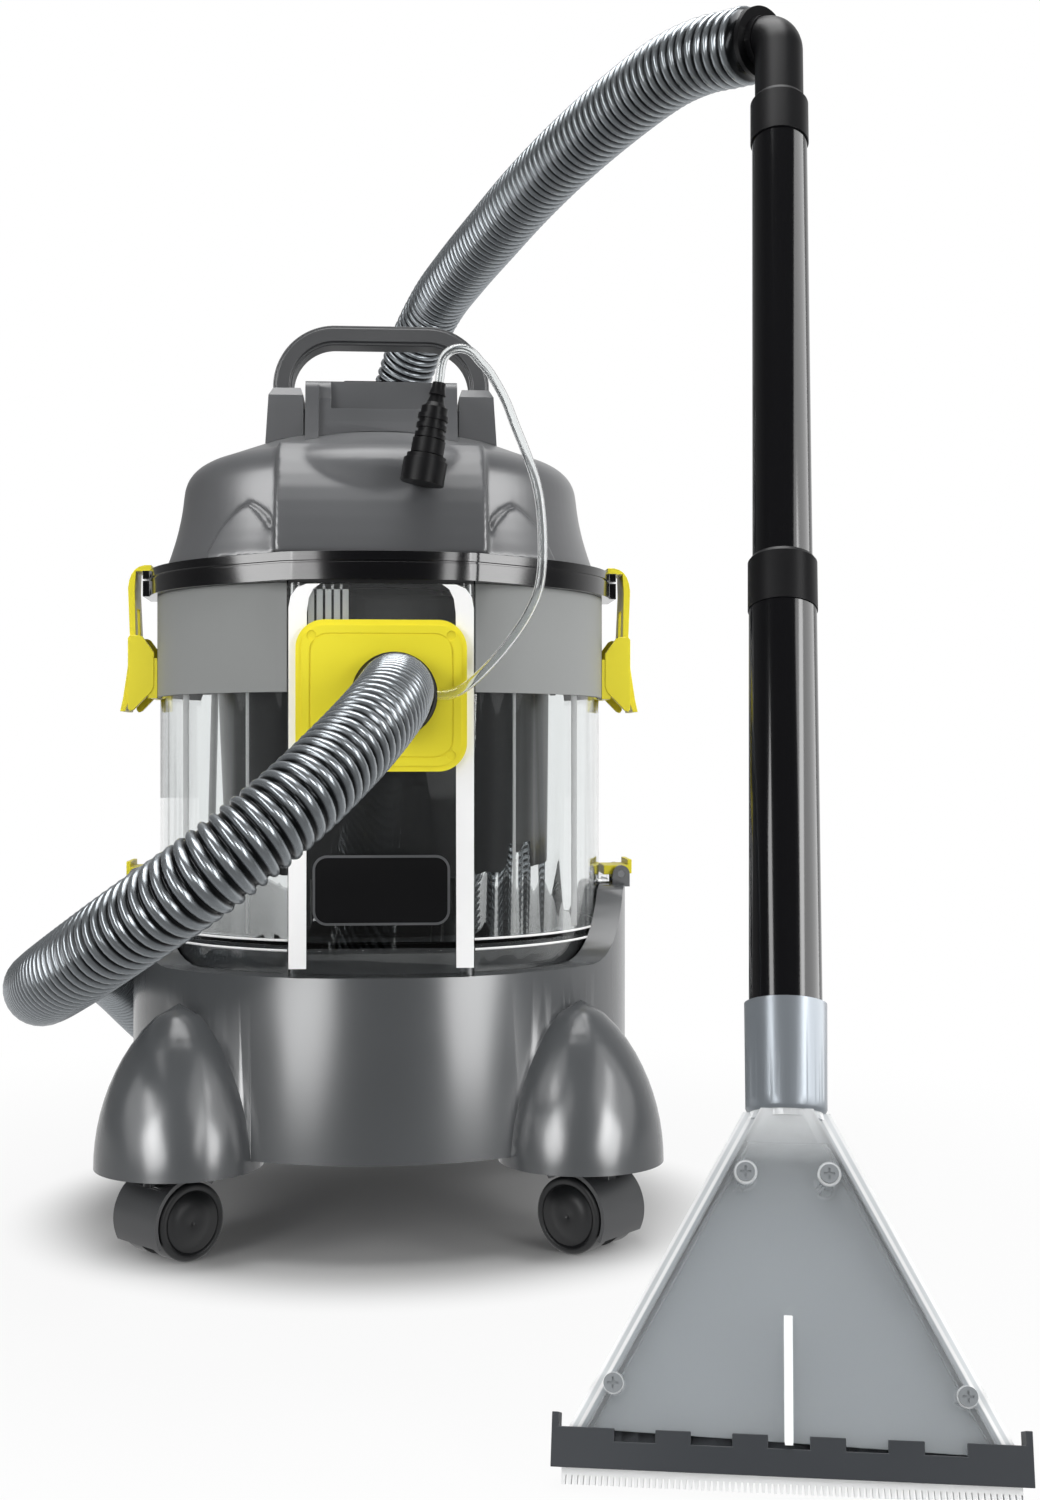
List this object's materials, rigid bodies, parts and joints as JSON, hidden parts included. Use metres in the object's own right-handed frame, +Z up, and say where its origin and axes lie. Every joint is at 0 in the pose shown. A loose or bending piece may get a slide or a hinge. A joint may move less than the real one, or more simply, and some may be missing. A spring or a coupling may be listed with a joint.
{
  "type": "spot extractor",
  "caption": "Wet spot extractor: castered grey base, clear tank, motor head with carry handle, ribbed suction hose, and a wand with a clear upholstery nozzle.",
  "frame": {"origin": "middle of the footprint of the machine and its standing wand, on the floor, without the hose and water tube", "axes": "+Z up, -Y out of the tank's front panel, +X to the viewer's right as seen from the front; the wand stands in front at +X"},
  "size_m": [0.5178, 0.8967, 0.7666],
  "materials": {
    "tank_clear": "clear, polished",
    "collar_grey": "satin",
    "base_grey": "satin",
    "head_grey": "satin",
    "trim_black": "gloss",
    "yellow": "satin",
    "inner_black": "satin",
    "caster_black": "satin",
    "wheel_black": "satin",
    "steel": "zinc plated",
    "seal_rubber": "soft",
    "motor_metal": "cast",
    "float_white": "foam",
    "hose_silver": "ribbed, satin",
    "tube_clear": "clear, soft",
    "wand_black": "gloss",
    "socket_grey": "satin",
    "nozzle_clear": "clear, polished",
    "nozzle_smoke": "tinted",
    "jaw_grey": "satin",
    "comb_white": "soft"
  },
  "bodies": {
    "root": {"base_shell": "base_grey", "latch_brackets": "yellow", "inlet_plate": "yellow", "base_clip_pins": "steel", "caster_stems": "steel", "tank_shell": "tank_clear", "tank_collar": "collar_grey", "rim_seal": "seal_rubber", "tank_rim": "trim_black", "inlet_port": "trim_black", "inlet_deflector": "inner_black", "clean_water_tank": "inner_black", "water_pickup": "tube_clear", "head_plate": "inner_black", "head_shell": "head_grey", "head_top": "head_grey", "carry_handle": "base_grey", "switch_bezel": "trim_black", "motor": "motor_metal", "pump": "inner_black", "float_cage": "inner_black", "cord_gland": "trim_black", "blower_port": "trim_black", "coupling_socket": "trim_black", "coupling_plug": "trim_black", "hose_cuff": "trim_black", "suction_hose": "hose_silver", "hose_elbow": "wand_black", "water_tube": "tube_clear", "wand_collar": "wand_black", "wand_tube_upper": "wand_black", "wand_sleeve": "wand_black", "wand_tube_lower": "wand_black", "nozzle_socket": "socket_grey", "nozzle_front": "nozzle_clear", "nozzle_back": "nozzle_smoke", "nozzle_jaw": "jaw_grey", "nozzle_lip": "comb_white", "nozzle_screws": "steel"},
    "caster_front_left": {"caster_hood_front_left": "caster_black"},
    "wheel_front_left_inner": {"wheel_front_left_inner": "wheel_black"},
    "wheel_front_left_outer": {"wheel_front_left_outer": "wheel_black"},
    "caster_front_right": {"caster_hood_front_right": "caster_black"},
    "wheel_front_right_inner": {"wheel_front_right_inner": "wheel_black"},
    "wheel_front_right_outer": {"wheel_front_right_outer": "wheel_black"},
    "caster_back_left": {"caster_hood_back_left": "caster_black"},
    "wheel_back_left_inner": {"wheel_back_left_inner": "wheel_black"},
    "wheel_back_left_outer": {"wheel_back_left_outer": "wheel_black"},
    "caster_back_right": {"caster_hood_back_right": "caster_black"},
    "wheel_back_right_inner": {"wheel_back_right_inner": "wheel_black"},
    "wheel_back_right_outer": {"wheel_back_right_outer": "wheel_black"},
    "latch_left": {"latch_left": "yellow"},
    "base_clip_left": {"base_clip_left": "yellow"},
    "rocker_left": {"rocker_left": "trim_black"},
    "latch_right": {"latch_right": "yellow"},
    "base_clip_right": {"base_clip_right": "yellow"},
    "rocker_right": {"rocker_right": "trim_black"},
    "float": {"float": "float_white"},
    "fan": {"fan": "motor_metal"}
  },
  "joints": [
    {"name": "caster_front_left_swivel", "type": "hinge", "parent": "root", "child": "caster_front_left", "pos_m": [-0.19126, 0.0599, 0.057], "axis": [0, 0, 1], "continuous": true},
    {"name": "wheel_front_left_inner_spin", "type": "hinge", "parent": "caster_front_left", "child": "wheel_front_left_inner", "pos_m": [-0.18376, 0.06651, 0.025], "axis": [-0.6613, 0.7501, 0], "continuous": true},
    {"name": "wheel_front_left_outer_spin", "type": "hinge", "parent": "caster_front_left", "child": "wheel_front_left_outer", "pos_m": [-0.18376, 0.06651, 0.025], "axis": [-0.6613, 0.7501, 0], "continuous": true},
    {"name": "caster_front_right_swivel", "type": "hinge", "parent": "root", "child": "caster_front_right", "pos_m": [0.09274, 0.0599, 0.057], "axis": [0, 0, 1], "continuous": true},
    {"name": "wheel_front_right_inner_spin", "type": "hinge", "parent": "caster_front_right", "child": "wheel_front_right_inner", "pos_m": [0.08524, 0.06651, 0.025], "axis": [0.6613, 0.7501, 0], "continuous": true},
    {"name": "wheel_front_right_outer_spin", "type": "hinge", "parent": "caster_front_right", "child": "wheel_front_right_outer", "pos_m": [0.08524, 0.06651, 0.025], "axis": [0.6613, 0.7501, 0], "continuous": true},
    {"name": "caster_back_left_swivel", "type": "hinge", "parent": "root", "child": "caster_back_left", "pos_m": [-0.19126, 0.3299, 0.057], "axis": [0, 0, 1], "continuous": true},
    {"name": "wheel_back_left_inner_spin", "type": "hinge", "parent": "caster_back_left", "child": "wheel_back_left_inner", "pos_m": [-0.18376, 0.32328, 0.025], "axis": [-0.6613, -0.7501, 0], "continuous": true},
    {"name": "wheel_back_left_outer_spin", "type": "hinge", "parent": "caster_back_left", "child": "wheel_back_left_outer", "pos_m": [-0.18376, 0.32328, 0.025], "axis": [-0.6613, -0.7501, 0], "continuous": true},
    {"name": "caster_back_right_swivel", "type": "hinge", "parent": "root", "child": "caster_back_right", "pos_m": [0.09274, 0.3299, 0.057], "axis": [0, 0, 1], "continuous": true},
    {"name": "wheel_back_right_inner_spin", "type": "hinge", "parent": "caster_back_right", "child": "wheel_back_right_inner", "pos_m": [0.08524, 0.32328, 0.025], "axis": [0.6613, -0.7501, 0], "continuous": true},
    {"name": "wheel_back_right_outer_spin", "type": "hinge", "parent": "caster_back_right", "child": "wheel_back_right_outer", "pos_m": [0.08524, 0.32328, 0.025], "axis": [0.6613, -0.7501, 0], "continuous": true},
    {"name": "latch_left_hinge", "type": "hinge", "parent": "root", "child": "latch_left", "pos_m": [-0.21926, 0.1949, 0.375], "axis": [0, -1, 0], "range_deg": [0, 40]},
    {"name": "base_clip_left_hinge", "type": "hinge", "parent": "root", "child": "base_clip_left", "pos_m": [-0.21926, 0.1949, 0.237], "axis": [0, -1, 0], "range_deg": [0, 50]},
    {"name": "rocker_left_rock", "type": "hinge", "parent": "root", "child": "rocker_left", "pos_m": [-0.06426, 0.1429, 0.574], "axis": [1, 0, 0], "range_deg": [-16, 0]},
    {"name": "latch_right_hinge", "type": "hinge", "parent": "root", "child": "latch_right", "pos_m": [0.12074, 0.1949, 0.375], "axis": [0, 1, 0], "range_deg": [0, 40]},
    {"name": "base_clip_right_hinge", "type": "hinge", "parent": "root", "child": "base_clip_right", "pos_m": [0.12074, 0.1949, 0.237], "axis": [0, 1, 0], "range_deg": [0, 50]},
    {"name": "rocker_right_rock", "type": "hinge", "parent": "root", "child": "rocker_right", "pos_m": [-0.03426, 0.1429, 0.574], "axis": [1, 0, 0], "range_deg": [-16, 0]},
    {"name": "float_rise", "type": "slide", "parent": "root", "child": "float", "axis": [0, 0, 1], "range_m": [0, 0.026]},
    {"name": "fan_spin", "type": "hinge", "parent": "root", "child": "fan", "pos_m": [-0.04926, 0.1949, 0.468], "axis": [0, 0, 1], "continuous": true}
  ]
}
